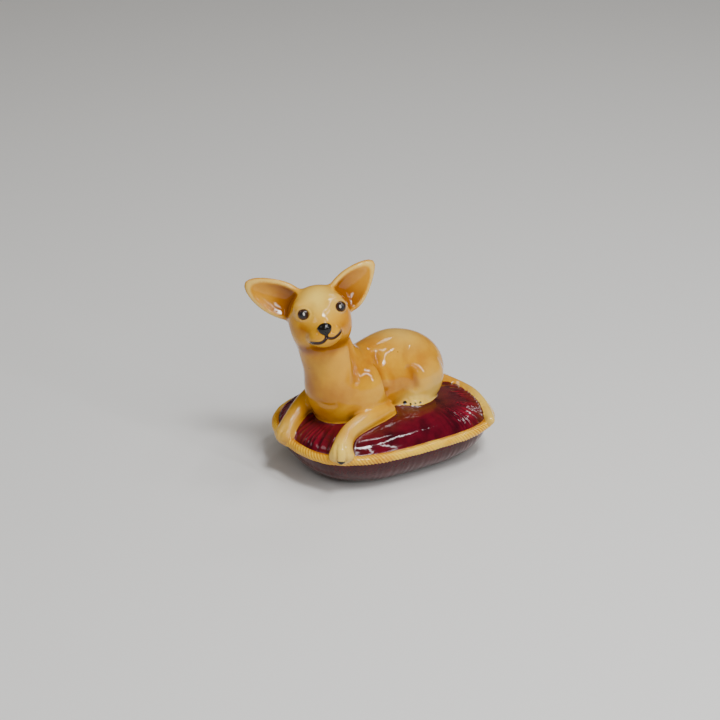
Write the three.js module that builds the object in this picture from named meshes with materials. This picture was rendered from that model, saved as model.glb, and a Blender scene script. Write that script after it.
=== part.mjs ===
// A glazed porcelain chihuahua lying on a plump corded cushion, cast in one piece.
// Millimetres, +Z up, the flat foot of the cushion on z = 0 and its middle on the origin.
// The dog lies along Y with its chest towards -Y; its head is turned to its own left (+X).
// The whole form is one smooth field (negative inside) whose zero level is the glazed surface.
import * as THREE from 'three';

// Cushion, measured at the middle of the cord that runs round its seam.
const CUSHION_WIDTH = 50.4;
const CUSHION_LENGTH = 66.8;
const SEAM_HEIGHT = 12.7;
const TOP_RISE = 8.2;
const TAIL_END_DROP = 2.4;
const UNDERSIDE_DEPTH = 15.5;
const FRONT_SQUARENESS = 2.65;
const BACK_SQUARENESS = 3.5;
const PLUMPNESS = 2.35;
const CORD_DIAMETER = 2.7;

// Dog, each of its parts by one size of its own.
const BODY_LENGTH = 48;
const HEAD_WIDTH = 19;
const EAR_LENGTH = 15;
const EYE_DIAMETER = 3.8;
const NOSE_WIDTH = 4.4;
const PAW_WIDTH = 6.6;
const TAIL_THICKNESS = 2.9;
const HEAD_TURN = 66;
const HEAD_LIFT = 18;
const HEAD_TILT = 9.5;

// Fineness of the surface: spacing of the first net of points, and the facets kept from it.
const NET_SPACING = 0.9;
const FACETS = 9600;

const HALF_WIDTH = CUSHION_WIDTH / 2;
const HALF_LENGTH = CUSHION_LENGTH / 2;
const CORD_RADIUS = CORD_DIAMETER / 2;
const SEAM_INSET = CORD_DIAMETER * 0.3;
const TOP_HEIGHT = SEAM_HEIGHT + TOP_RISE;
const BODY_SCALE = BODY_LENGTH / 48;
const HEAD_SCALE = HEAD_WIDTH / 19;
const EAR_SCALE = EAR_LENGTH / 15 / HEAD_SCALE;
const PAW = PAW_WIDTH / 2;
const TAIL = TAIL_THICKNESS / 2;

// Soft union and soft cut; `soft` is the width over which two forms flow together.
function join(a, b, soft) {
  const h = Math.max(soft - Math.abs(a - b), 0) / soft;
  return Math.min(a, b) - h * h * soft * 0.25;
}

function cut(a, b, soft) {
  return -join(-a, b, soft);
}

function span(x, y, z = 0) {
  return Math.sqrt(x * x + y * y + z * z);
}

function clamp(v, low, high) {
  return Math.min(Math.max(v, low), high);
}

function ease(t) {
  return t * t * (3 - 2 * t);
}

// An egg: an ellipsoid by its middle and half sizes, tipped about X by `tip` degrees.
function egg(middle, half, tip = 0) {
  const [cx, cy, cz] = middle;
  const [rx, ry, rz] = half;
  const c = Math.cos(tip * Math.PI / 180);
  const s = Math.sin(tip * Math.PI / 180);
  return (x, y, z) => {
    const ux = (x - cx) / rx;
    const dy = y - cy;
    const dz = z - cz;
    const uy = (c * dy + s * dz) / ry;
    const uz = (c * dz - s * dy) / rz;
    const near = span(ux, uy, uz);
    const slope = span(ux / rx, uy / ry, uz / rz) + 1e-6;
    return near * (near - 1) / slope;
  };
}

// A limb: a round rod through stations [x, y, z, radius] along a smooth curve.
function limb(stations, steps = 5) {
  const first = stations[0];
  const last = stations[stations.length - 1];
  const second = stations[1];
  const beforeLast = stations[stations.length - 2];
  const ends = [first.map((v, i) => 2 * v - second[i]), ...stations,
    last.map((v, i) => 2 * v - beforeLast[i])];
  const points = [];
  for (let i = 1; i < ends.length - 2; i++) {
    for (let j = 0; j < steps; j++) {
      const t = j / steps;
      points.push(first.map((_, k) => {
        const [a, b, c, d] = [ends[i - 1][k], ends[i][k], ends[i + 1][k], ends[i + 2][k]];
        return 0.5 * (2 * b + (c - a) * t + (2 * a - 5 * b + 4 * c - d) * t * t
          + (3 * b - 3 * c + d - a) * t * t * t);
      }));
    }
  }
  points.push(last);
  const rods = [];
  for (let i = 0; i < points.length - 1; i++) {
    const [ax, ay, az, ar] = points[i];
    const [bx, by, bz, br] = points[i + 1];
    const square = (bx - ax) ** 2 + (by - ay) ** 2 + (bz - az) ** 2;
    rods.push([ax, ay, az, ar, bx - ax, by - ay, bz - az, br - ar, 1 / square]);
  }
  const middle = [0, 1, 2].map((k) => points.reduce((sum, p) => sum + p[k], 0) / points.length);
  const round = Math.max(...points.map((p) => span(p[0] - middle[0], p[1] - middle[1],
    p[2] - middle[2]) + p[3]));
  const form = (x, y, z) => {
    let least = Infinity;
    for (const [ax, ay, az, ar, dx, dy, dz, dr, per] of rods) {
      const t = clamp(((x - ax) * dx + (y - ay) * dy + (z - az) * dz) * per, 0, 1);
      const away = span(x - ax - t * dx, y - ay - t * dy, z - az - t * dz) - ar - dr * t;
      least = Math.min(least, away);
    }
    return least;
  };
  return Object.assign(form, { middle, round });
}

// The corners are rounder at the front than at the tail, and the change is made over this width.
const MIDDLE_BAND = 16;

// How far out a plan point lies: 0 in the middle of the cushion, 1 on the line of the cord,
// or, with an inset, on a line that far inside it.
function planShare(x, y, inset = 0) {
  const toBack = ease(clamp(y / MIDDLE_BAND + 0.5, 0, 1));
  const p = FRONT_SQUARENESS + (BACK_SQUARENESS - FRONT_SQUARENESS) * toBack;
  const u = Math.abs(x) / (HALF_WIDTH - inset);
  const v = Math.abs(y) / (HALF_LENGTH - inset);
  return (u ** p + v ** p + 1e-9) ** (1 / p);
}

// Rise of the cushion's top over the seam: full under the dog, lower at the tail end.
function topRise(y) {
  return TOP_RISE - TAIL_END_DROP * ease(clamp((y / HALF_LENGTH - 0.24) / 0.72, 0, 1));
}

function cushionLevel(x, y, z) {
  const rise = z > SEAM_HEIGHT ? topRise(y) : UNDERSIDE_DEPTH;
  const v = Math.abs(z - SEAM_HEIGHT) / rise;
  return (planShare(x, y, SEAM_INSET) ** PLUMPNESS + v ** PLUMPNESS) ** (1 / PLUMPNESS) - 1;
}

function cushion(x, y, z) {
  const e = 0.05;
  const level = cushionLevel(x, y, z);
  const gx = cushionLevel(x + e, y, z) - level;
  const gy = cushionLevel(x, y + e, z) - level;
  const gz = cushionLevel(x, y, z + e) - level;
  const pillow = level * e / (span(gx, gy, gz) + 1e-5);
  return cut(pillow, z, 0.8);
}

// The cord: a round rod laid along the seam.
function cord(x, y, z) {
  const e = 0.05;
  const out = planShare(x, y) - 1;
  const gx = planShare(x + e, y) - 1 - out;
  const gy = planShare(x, y + e) - 1 - out;
  const away = out * e / (span(gx, gy) + 1e-5);
  return span(away, z - SEAM_HEIGHT) - CORD_RADIUS;
}

// Height of the cushion's top surface over a plan point.
function topHeight(x, y) {
  const inside = Math.max(1 - Math.min(planShare(x, y, SEAM_INSET), 1) ** PLUMPNESS, 0);
  return SEAM_HEIGHT + topRise(y) * inside ** (1 / PLUMPNESS);
}

// A station of a limb that rests on the cushion, placed by shares of its half width and length,
// with its middle at `lift` over the top surface.
function resting(shareX, shareY, lift, radius) {
  const x = shareX * HALF_WIDTH;
  const y = shareY * HALF_LENGTH;
  return [x, y, topHeight(x, y) + lift, radius];
}

// A point of the dog's body, from the middle of the cushion's top.
function onBody(x, y, z) {
  return [x * BODY_SCALE, y * BODY_SCALE, TOP_HEIGHT + (z - 20.9) * BODY_SCALE];
}

function bodyEgg(middle, half, tip) {
  return egg(onBody(...middle), half.map((v) => v * BODY_SCALE), tip);
}

function bodyStation(x, y, z, radius) {
  return [...onBody(x, y, z), radius * BODY_SCALE];
}

// The head's own frame: left, forward and up, turned, lifted and tilted as it is held.
const HEAD_MIDDLE = onBody(3.0, -23.8, 54.8);
const HEAD_AXES = (() => {
  const turn = HEAD_TURN * Math.PI / 180;
  const lift = HEAD_LIFT * Math.PI / 180;
  const tilt = HEAD_TILT * Math.PI / 180;
  const left = new THREE.Vector3(Math.cos(turn), Math.sin(turn), 0);
  const level = new THREE.Vector3(Math.sin(turn), -Math.cos(turn), 0);
  const upright = new THREE.Vector3(0, 0, 1);
  const ahead = level.clone().multiplyScalar(Math.cos(lift)).addScaledVector(upright, Math.sin(lift));
  const crown = upright.clone().multiplyScalar(Math.cos(lift)).addScaledVector(level, -Math.sin(lift));
  const side = left.clone().multiplyScalar(Math.cos(tilt)).addScaledVector(crown, Math.sin(tilt));
  const up = crown.clone().multiplyScalar(Math.cos(tilt)).addScaledVector(left, -Math.sin(tilt));
  return [side, ahead, up];
})();

// A leaf: an egg drawn narrower towards its tip and bent sideways in its own plane.
function leaf(middle, long, wide, thick, bend, taper) {
  return (x, y, z) => {
    const u = (x - middle) / long;
    const narrow = Math.max(1 - taper * u, 0.2);
    const v = (y - bend * u * Math.abs(u)) / (wide * narrow);
    const w = z / (thick * narrow);
    const near = span(u, v, w);
    const slope = span(u / long, v / (wide * narrow), w / (thick * narrow)) + 1e-6;
    return near * (near - 1) / slope;
  };
}

// One ear in head measure: a leaf from base to tip, hollowed on its front.
function makeEar(base, tip, extra, bend, taper) {
  const root = new THREE.Vector3(...base);
  const along = new THREE.Vector3(...tip).sub(root).normalize();
  const face = new THREE.Vector3(0.12, 0.97, -0.12);
  face.addScaledVector(along, -face.dot(along)).normalize();
  const across = new THREE.Vector3().crossVectors(face, along);
  const outer = leaf(5.4 + extra / 2, 9.7 + extra, 5.6, 2.7, bend, taper);
  const hollow = leaf(5.2 + extra / 2, 8.4 + extra, 4.6, 2.8, bend, taper);
  return (x, y, z) => {
    const dx = x - root.x;
    const dy = y - root.y;
    const dz = z - root.z;
    const u = (dx * along.x + dy * along.y + dz * along.z) / EAR_SCALE;
    const v = (dx * across.x + dy * across.y + dz * across.z) / EAR_SCALE;
    const w = (dx * face.x + dy * face.y + dz * face.z) / EAR_SCALE;
    return cut(outer(u, v, w), hollow(u, v, w - 2.2), 1.5) * EAR_SCALE;
  };
}

const HEAD_REACH = 11 + 17 * EAR_SCALE;
const EYE = EYE_DIAMETER / 2 / HEAD_SCALE;
// The eyes were set a little to the head's left of its middle plane.
const EYE_SHIFT = 0.8;
const NOSE = NOSE_WIDTH / 2 / HEAD_SCALE;
const skull = egg([0, -1, 1], [9.5, 9.6, 8.5]);
const cheek = egg([4.4, 1, -3.8], [4.8, 6, 5.2]);
const muzzle = limb([[0, 3.5, -3.6, 5.4], [0, 9.8, -4.4, 3.4]], 1);
const lip = egg([2.3, 9.4, -5.1], [2.9, 3.3, 2.4]);
const chin = egg([0, 8.4, -6.8], [3, 3.6, 1.6]);
const brow = egg([4.4, 5.4, 4.6], [2.8, 1.6, 1.4]);
const socket = egg([6.1, 9.2, 2.3], [2.5, 1.8, 2]);
const eye = egg([5.9, 7.5 - EYE, 2.3], [EYE, EYE, EYE]);
const nose = egg([0.2, 12.5, -2.4], [NOSE, NOSE * 0.64, NOSE * 0.77]);
const nearEar = makeEar([8.15, -2, 3.3], [18, -3, 12.2], 0, 0.7, 0.36);
const farEar = makeEar([7, -2, 5], [19.6, -3, 13.1], 0.6, -0.6, 0.22);

function head(px, py, pz) {
  const x = (px - HEAD_MIDDLE[0]) / HEAD_SCALE;
  const y = (py - HEAD_MIDDLE[1]) / HEAD_SCALE;
  const z = (pz - HEAD_MIDDLE[2]) / HEAD_SCALE;
  const [l, f, u] = HEAD_AXES.map((a) => a.x * x + a.y * y + a.z * z);
  const m = Math.sqrt(l * l + 0.3);
  const side = Math.abs(l - EYE_SHIFT);
  let d = skull(l, f, u);
  d = join(d, cheek(m, f, u), 3);
  d = join(d, muzzle(l, f, u), 4);
  d = join(d, lip(m, f, u), 1.8);
  d = join(d, chin(l, f, u), 1.2);
  d = join(d, brow(m, f, u), 3);
  d = cut(d, socket(side, f, u), 1.6);
  d = join(d, eye(side, f, u), 0.5);
  d = join(d, nose(l, f, u), 0.5);
  d = join(d, nearEar(l, f, u), 1.6);
  d = join(d, farEar(-l, f, u), 1.6);
  return d * HEAD_SCALE;
}

// Chest, belly, back and rump, then the neck, the two shoulders and the two thighs.
const mass = [
  [bodyEgg([2.2, -16, 27.1], [10, 10.4, 11.9]), 5],
  [bodyEgg([0, -4, 27.5], [11, 14, 12]), 5],
  [bodyEgg([-2, 5.5, 28.4], [11.3, 12.5, 12.4]), 5],
  [bodyEgg([-2.1, 12.4, 26.8], [11.2, 10.2, 10.6]), 4],
  [limb([bodyStation(2.4, -18, 33, 9), bodyStation(2.1, -22.4, 46.5, 8.1)], 1), 5],
  [bodyEgg([9.6, -10.5, 28], [4.6, 6.6, 9], -10), 2.2],
  [bodyEgg([-7.4, -11.5, 26.5], [4.4, 6.6, 8.4], -10), 2.2],
  [bodyEgg([7, 10.2, 26.2], [5, 8, 8.4], -32), 1.8],
  [bodyEgg([-12.2, 9.8, 25.6], [5, 8.6, 8.6], -20), 1.8],
];

// Feet tucked under the thighs, forelegs laid over the front rim, tail laid along the back rim.
const limbs = [
  [limb([bodyStation(6.6, 12.6, 20.6, 2.6), resting(0.381, 0.287, 0.2, PAW * 0.7),
    resting(0.389, 0.195, 0.2, PAW * 0.67), resting(0.333, 0.108, 0.2, PAW * 0.6)]), 1.5],
  [limb([bodyStation(-13, 12, 20, 3), resting(-0.571, 0.240, 0.2, PAW * 0.7),
    resting(-0.571, 0.135, 0.2, PAW * 0.7), resting(-0.524, 0.060, 0.2, PAW * 0.6)]), 1.5],
  [limb([bodyStation(11.6, -4.4, 21.3, 2.5), bodyStation(12.9, -8.6, 21.8, 2.9),
    resting(0.579, -0.449, 2.3, PAW * 0.85), resting(0.639, -0.605, 2.4, PAW * 0.79),
    resting(0.706, -0.701, 2.5, PAW * 0.85), resting(0.802, -0.775, 3.5, PAW * 1.03)]), 1.4],
  [limb([bodyStation(-9.5, -12, 24, 4), bodyStation(-8, -19, 23, 3.2),
    resting(-0.190, -0.766, 3.2, PAW * 0.88), resting(-0.103, -0.928, 2.3, PAW * 0.82),
    resting(-0.048, -1.018, 2.1, PAW * 0.97)]), 2],
  [limb([bodyStation(-4, 18, 21, 3.4), resting(-0.218, 0.749, 0.2, TAIL * 1.65),
    resting(-0.135, 0.898, -0.1, TAIL * 1.24), resting(0.119, 0.958, 0.8, TAIL * 1.1),
    resting(0.397, 0.940, 0.5, TAIL * 1.03), resting(0.675, 0.880, 1.1, TAIL),
    resting(0.889, 0.814, 1.7, TAIL * 0.97)]), 1.5],
];

function figurine(x, y, z) {
  let d = mass[0][0](x, y, z);
  for (let i = 1; i < mass.length; i++) {
    d = join(d, mass[i][0](x, y, z), mass[i][1]);
  }
  for (const [form, soft] of limbs) {
    const [mx, my, mz] = form.middle;
    if (span(x - mx, y - my, z - mz) - form.round < d + soft) {
      d = join(d, form(x, y, z), soft);
    }
  }
  const [hx, hy, hz] = HEAD_MIDDLE;
  if (span(x - hx, y - hy, z - hz) - HEAD_REACH * HEAD_SCALE < d + 3) {
    d = join(d, head(x, y, z), 3);
  }
  const base = join(cushion(x, y, z), cord(x, y, z), 0.8);
  return join(d, base, 1.6);
}

// Outer box of the net, a little larger than the figurine.
const RIM_MARGIN = 7;
const HEAD_ROOM = HEAD_REACH * HEAD_SCALE + 1;
const REACH_X = Math.max(HALF_WIDTH + CORD_RADIUS + RIM_MARGIN, HEAD_MIDDLE[0] + HEAD_ROOM);
const REACH_Y = Math.max(HALF_LENGTH + CORD_RADIUS + RIM_MARGIN, HEAD_ROOM - HEAD_MIDDLE[1]);
const REACH_Z = HEAD_MIDDLE[2] + HEAD_ROOM;

const ORIGIN_X = -REACH_X;
const ORIGIN_Y = -REACH_Y;
const ORIGIN_Z = -2 * NET_SPACING;
const COUNT_X = Math.ceil(2 * REACH_X / NET_SPACING) + 1;
const COUNT_Y = Math.ceil(2 * REACH_Y / NET_SPACING) + 1;
const COUNT_Z = Math.ceil((REACH_Z - ORIGIN_Z) / NET_SPACING) + 1;

// The field at the net's points, worked out fully only near the surface.
function sampleField() {
  const block = 5;
  const reach = block * NET_SPACING;
  const bx = Math.ceil(COUNT_X / block) + 1;
  const by = Math.ceil(COUNT_Y / block) + 1;
  const bz = Math.ceil(COUNT_Z / block) + 1;
  const field = new Float64Array(COUNT_X * COUNT_Y * COUNT_Z);
  for (let k = 0; k < bz; k++) {
    for (let j = 0; j < by; j++) {
      for (let i = 0; i < bx; i++) {
        const middle = figurine(ORIGIN_X + (i + 0.5) * reach, ORIGIN_Y + (j + 0.5) * reach,
          ORIGIN_Z + (k + 0.5) * reach);
        const far = Math.abs(middle) > reach * 1.2;
        for (let c = k * block; c < Math.min((k + 1) * block, COUNT_Z); c++) {
          for (let b = j * block; b < Math.min((j + 1) * block, COUNT_Y); b++) {
            for (let a = i * block; a < Math.min((i + 1) * block, COUNT_X); a++) {
              field[(c * COUNT_Y + b) * COUNT_X + a] = far ? middle
                : figurine(ORIGIN_X + a * NET_SPACING, ORIGIN_Y + b * NET_SPACING,
                  ORIGIN_Z + c * NET_SPACING);
            }
          }
        }
      }
    }
  }
  return field;
}

// Each cell of the net is split into six tetrahedra round its long diagonal, and the zero level
// is laid through them, so the surface comes out closed.
const CORNERS = [[0, 0, 0], [1, 0, 0], [1, 1, 0], [0, 1, 0], [0, 0, 1], [1, 0, 1], [1, 1, 1], [0, 1, 1]];
const SPLIT = [[0, 5, 1, 6], [0, 1, 2, 6], [0, 2, 3, 6], [0, 3, 7, 6], [0, 7, 4, 6], [0, 4, 5, 6]];

function traceSurface(field) {
  const points = [];
  const facets = [];
  const found = new Map();
  const place = (n) => {
    const i = n % COUNT_X;
    const j = Math.floor(n / COUNT_X) % COUNT_Y;
    const k = Math.floor(n / (COUNT_X * COUNT_Y));
    return [ORIGIN_X + i * NET_SPACING, ORIGIN_Y + j * NET_SPACING, ORIGIN_Z + k * NET_SPACING];
  };
  const total = field.length;
  const crossing = (n, m) => {
    const key = Math.min(n, m) * total + Math.max(n, m);
    if (!found.has(key)) {
      const a = place(n);
      const b = place(m);
      const t = clamp(field[n] / (field[n] - field[m]), 0.03, 0.97);
      found.set(key, points.length);
      points.push([a[0] + (b[0] - a[0]) * t, a[1] + (b[1] - a[1]) * t, a[2] + (b[2] - a[2]) * t]);
    }
    return found.get(key);
  };
  const addFacet = (a, b, c, inner) => {
    const [p, q, r] = [points[a], points[b], points[c]];
    const [ux, uy, uz] = [q[0] - p[0], q[1] - p[1], q[2] - p[2]];
    const [vx, vy, vz] = [r[0] - p[0], r[1] - p[1], r[2] - p[2]];
    const away = (uy * vz - uz * vy) * (p[0] - inner[0]) + (uz * vx - ux * vz) * (p[1] - inner[1])
      + (ux * vy - uy * vx) * (p[2] - inner[2]);
    facets.push(away > 0 ? [a, b, c] : [a, c, b]);
  };
  for (let k = 0; k < COUNT_Z - 1; k++) {
    for (let j = 0; j < COUNT_Y - 1; j++) {
      for (let i = 0; i < COUNT_X - 1; i++) {
        const corner = CORNERS.map(([a, b, c]) => ((k + c) * COUNT_Y + j + b) * COUNT_X + i + a);
        const inside = corner.map((n) => field[n] < 0);
        if (inside.every((v) => v === inside[0])) {
          continue;
        }
        for (const tet of SPLIT) {
          const ins = tet.filter((c) => inside[c]).map((c) => corner[c]);
          const outs = tet.filter((c) => !inside[c]).map((c) => corner[c]);
          if (ins.length === 0 || outs.length === 0) {
            continue;
          }
          const inner = place(ins[0]);
          if (ins.length === 1) {
            addFacet(...outs.map((o) => crossing(ins[0], o)), inner);
          } else if (outs.length === 1) {
            addFacet(...ins.map((n) => crossing(n, outs[0])), inner);
          } else {
            const a = crossing(ins[0], outs[0]);
            const b = crossing(ins[0], outs[1]);
            const c = crossing(ins[1], outs[1]);
            const d = crossing(ins[1], outs[0]);
            addFacet(a, b, c, inner);
            addFacet(a, c, d, inner);
          }
        }
      }
    }
  }
  return { points, facets };
}

// Moves a point along the field's slope on to the surface; the flat foot stays flat.
function settle(p, turns) {
  const e = 0.02;
  for (let turn = 0; turn < turns; turn++) {
    const d = figurine(p[0], p[1], p[2]);
    const gx = (figurine(p[0] + e, p[1], p[2]) - d) / e;
    const gy = (figurine(p[0], p[1] + e, p[2]) - d) / e;
    const gz = (figurine(p[0], p[1], p[2] + e) - d) / e;
    const per = clamp(d, -0.3, 0.3) / Math.max(gx * gx + gy * gy + gz * gz, 0.25);
    p[0] -= gx * per;
    p[1] -= gy * per;
    p[2] -= gz * per;
  }
  if (p[2] < 0.01) {
    p[2] = 0;
  }
}

// Small forms keep more facets: the face, the ears, the paws, the cord and the tail.
function keenness(x, y, z) {
  const face = span(x - HEAD_MIDDLE[0], y - HEAD_MIDDLE[1], z - HEAD_MIDDLE[2]) / HEAD_SCALE;
  if (face < 16) {
    return 3;
  }
  return z > HEAD_MIDDLE[2] ? 2 : 1;
}

// Thins the facets by folding short, flat edges away until `target` are left.
function thin(points, facets, target) {
  const count = points.length;
  const around = points.map(() => new Set());
  facets.forEach((f, i) => f.forEach((v) => around[v].add(i)));
  const alive = facets.map(() => true);
  const quadrics = points.map(() => new Float64Array(10));
  const normalOf = (f, moved = -1, to = null) => {
    const [p, q, r] = f.map((v) => (v === moved ? to : points[v]));
    const ux = q[0] - p[0];
    const uy = q[1] - p[1];
    const uz = q[2] - p[2];
    const vx = r[0] - p[0];
    const vy = r[1] - p[1];
    const vz = r[2] - p[2];
    return [uy * vz - uz * vy, uz * vx - ux * vz, ux * vy - uy * vx];
  };
  for (const f of facets) {
    const [nx, ny, nz] = normalOf(f);
    const size = span(nx, ny, nz) + 1e-12;
    const [a, b, c] = [nx / size, ny / size, nz / size];
    const p = points[f[0]];
    const d = -(a * p[0] + b * p[1] + c * p[2]);
    const w = size * keenness(...p);
    const q = [a * a, a * b, a * c, a * d, b * b, b * c, b * d, c * c, c * d, d * d];
    for (const v of f) {
      for (let i = 0; i < 10; i++) {
        quadrics[v][i] += q[i] * w;
      }
    }
  }
  const costAt = (q, x, y, z) => q[0] * x * x + 2 * q[1] * x * y + 2 * q[2] * x * z + 2 * q[3] * x
    + q[4] * y * y + 2 * q[5] * y * z + 2 * q[6] * y + q[7] * z * z + 2 * q[8] * z + q[9];
  const bestPlace = (a, b) => {
    const q = quadrics[a].map((v, i) => v + quadrics[b][i]);
    const pa = points[a];
    const pb = points[b];
    const mid = [(pa[0] + pb[0]) / 2, (pa[1] + pb[1]) / 2, (pa[2] + pb[2]) / 2];
    const soft = 1e-3 * (q[0] + q[4] + q[7]);
    const m = [q[0] + soft, q[1], q[2], q[4] + soft, q[5], q[7] + soft];
    const r = [soft * mid[0] - q[3], soft * mid[1] - q[6], soft * mid[2] - q[8]];
    const c0 = m[3] * m[5] - m[4] * m[4];
    const c1 = m[2] * m[4] - m[1] * m[5];
    const c2 = m[1] * m[4] - m[2] * m[3];
    const det = m[0] * c0 + m[1] * c1 + m[2] * c2;
    let best = mid;
    if (Math.abs(det) > 1e-12) {
      const c3 = m[0] * m[5] - m[2] * m[2];
      const c4 = m[1] * m[2] - m[0] * m[4];
      const c5 = m[0] * m[3] - m[1] * m[1];
      best = [(c0 * r[0] + c1 * r[1] + c2 * r[2]) / det, (c1 * r[0] + c3 * r[1] + c4 * r[2]) / det,
        (c2 * r[0] + c4 * r[1] + c5 * r[2]) / det];
    }
    if (pa[2] < 0.01 && pb[2] < 0.01) {
      best[2] = 0;
    }
    best[2] = Math.max(best[2], 0);
    const gap = span(pa[0] - pb[0], pa[1] - pb[1], pa[2] - pb[2]);
    return { best, cost: Math.max(costAt(q, ...best), 0) + 1e-5 * gap * gap * gap, q };
  };
  const stamp = new Int32Array(count);
  const heap = [];
  const swap = (i, j) => {
    const t = heap[i];
    heap[i] = heap[j];
    heap[j] = t;
  };
  const push = (item) => {
    heap.push(item);
    let i = heap.length - 1;
    while (i > 0 && heap[(i - 1) >> 1][0] > heap[i][0]) {
      swap(i, (i - 1) >> 1);
      i = (i - 1) >> 1;
    }
  };
  const pop = () => {
    const top = heap[0];
    const end = heap.pop();
    if (heap.length > 0) {
      heap[0] = end;
      let i = 0;
      for (;;) {
        const l = 2 * i + 1;
        const r = l + 1;
        let s = i;
        if (l < heap.length && heap[l][0] < heap[s][0]) {
          s = l;
        }
        if (r < heap.length && heap[r][0] < heap[s][0]) {
          s = r;
        }
        if (s === i) {
          break;
        }
        swap(s, i);
        i = s;
      }
    }
    return top;
  };
  const neighbours = (v) => {
    const set = new Set();
    for (const t of around[v]) {
      for (const w of facets[t]) {
        set.add(w);
      }
    }
    set.delete(v);
    return set;
  };
  const offer = (a, b) => {
    push([bestPlace(a, b).cost, a, b, stamp[a], stamp[b]]);
  };
  const seen = new Set();
  for (const f of facets) {
    for (let i = 0; i < 3; i++) {
      const a = Math.min(f[i], f[(i + 1) % 3]);
      const b = Math.max(f[i], f[(i + 1) % 3]);
      const key = a * count + b;
      if (!seen.has(key)) {
        seen.add(key);
        offer(a, b);
      }
    }
  }
  const keepsShape = (v, other, to) => {
    for (const t of around[v]) {
      const f = facets[t];
      if (f.includes(other)) {
        continue;
      }
      const before = normalOf(f);
      const after = normalOf(f, v, to);
      const sizeBefore = span(...before);
      const sizeAfter = span(...after);
      const turn = before[0] * after[0] + before[1] * after[1] + before[2] * after[2];
      if (turn < 0.3 * sizeBefore * sizeAfter) {
        return false;
      }
      const [p, q, r] = f.map((w) => (w === v ? to : points[w]));
      const longest = Math.max(span(p[0] - q[0], p[1] - q[1], p[2] - q[2]),
        span(q[0] - r[0], q[1] - r[1], q[2] - r[2]),
        span(r[0] - p[0], r[1] - p[1], r[2] - p[2]));
      if (sizeAfter < 0.15 * longest * longest && sizeAfter < sizeBefore) {
        return false;
      }
    }
    return true;
  };
  let left = facets.length;
  while (left > target && heap.length > 0) {
    const [, a, b, sa, sb] = pop();
    if (stamp[a] !== sa || stamp[b] !== sb) {
      continue;
    }
    const na = neighbours(a);
    const nb = neighbours(b);
    let shared = 0;
    for (const v of na) {
      shared += nb.has(v) ? 1 : 0;
    }
    if (shared !== 2 || !na.has(b)) {
      continue;
    }
    const { best, q } = bestPlace(a, b);
    if (!keepsShape(a, b, best) || !keepsShape(b, a, best)) {
      continue;
    }
    for (const t of [...around[b]]) {
      const f = facets[t];
      if (f.includes(a)) {
        alive[t] = false;
        left -= 1;
        f.forEach((v) => around[v].delete(t));
      } else {
        facets[t] = f.map((v) => (v === b ? a : v));
        around[a].add(t);
      }
    }
    around[b].clear();
    points[a] = best;
    quadrics[a] = q;
    stamp[a] += 1;
    stamp[b] = -1;
    for (const v of neighbours(a)) {
      offer(a, v);
    }
  }
  return facets.filter((_, i) => alive[i]);
}

// The closed surface as one geometry with shared corners.
function buildGeometry() {
  const { points, facets } = traceSurface(sampleField());
  points.forEach((p) => settle(p, 1));
  const kept = thin(points, facets, FACETS);
  new Set(kept.flat()).forEach((v) => settle(points[v], 2));
  const order = new Map();
  const positions = [];
  const index = [];
  for (const f of kept) {
    for (const v of f) {
      if (!order.has(v)) {
        order.set(v, order.size);
        positions.push(...points[v]);
      }
      index.push(order.get(v));
    }
  }
  const geometry = new THREE.BufferGeometry();
  geometry.setAttribute('position', new THREE.Float32BufferAttribute(positions, 3));
  geometry.setIndex(index);
  geometry.computeVertexNormals();
  return geometry;
}

const glaze = new THREE.MeshStandardMaterial({ color: 0xd9a45a, roughness: 0.15, metalness: 0 });
glaze.name = 'fawn_glaze';
const body = new THREE.Mesh(buildGeometry(), glaze);
body.name = 'chihuahua_on_cushion';
const part = new THREE.Group();
part.name = 'porcelain_chihuahua';
part.add(body);
export default part;
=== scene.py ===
"""A glazed porcelain chihuahua on a plump corded cushion, carved and painted over its solid."""
import math

import bpy
import numpy as np
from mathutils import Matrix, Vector


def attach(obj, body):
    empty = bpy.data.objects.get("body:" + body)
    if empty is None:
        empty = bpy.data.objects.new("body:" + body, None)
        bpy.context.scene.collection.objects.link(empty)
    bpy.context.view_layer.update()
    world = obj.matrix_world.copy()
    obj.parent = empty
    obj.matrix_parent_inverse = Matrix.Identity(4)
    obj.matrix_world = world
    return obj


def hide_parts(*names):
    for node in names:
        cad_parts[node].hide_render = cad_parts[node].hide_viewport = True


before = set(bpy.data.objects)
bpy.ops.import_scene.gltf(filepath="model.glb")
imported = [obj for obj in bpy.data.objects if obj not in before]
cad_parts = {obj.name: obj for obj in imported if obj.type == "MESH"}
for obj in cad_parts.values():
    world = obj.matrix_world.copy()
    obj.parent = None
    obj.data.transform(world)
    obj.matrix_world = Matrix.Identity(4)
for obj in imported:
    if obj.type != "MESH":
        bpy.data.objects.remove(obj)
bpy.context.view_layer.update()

MM = 0.001
REAL = np.float32
# Millimetres between two readings of a field when its slope in plan or height is taken.
SLOPE_STEP = REAL(0.1)

# Cushion, in millimetres, at the middle of its cord.
HALF_WIDTH, HALF_LENGTH = 25.2, 33.4
SEAM_HEIGHT, TOP_RISE, TAIL_END_DROP, UNDERSIDE_DEPTH = 12.7, 8.2, 2.4, 15.5
FRONT_SQUARENESS, BACK_SQUARENESS, PLUMPNESS = 2.65, 3.5, 2.35
CORD_RADIUS, SEAM_INSET = 1.35, 0.81
GATHER_SPACING, GATHER_RELIEF = 2.0, 1.15
STRAND_PITCH, STRAND_RELIEF, CORD_WAVER = 1.1, 0.12, 0.08
# Lengths along the cord start at this plan angle, in degrees, under the far paw.
RIM_START, RIM_STEPS = -92, 1440

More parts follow.
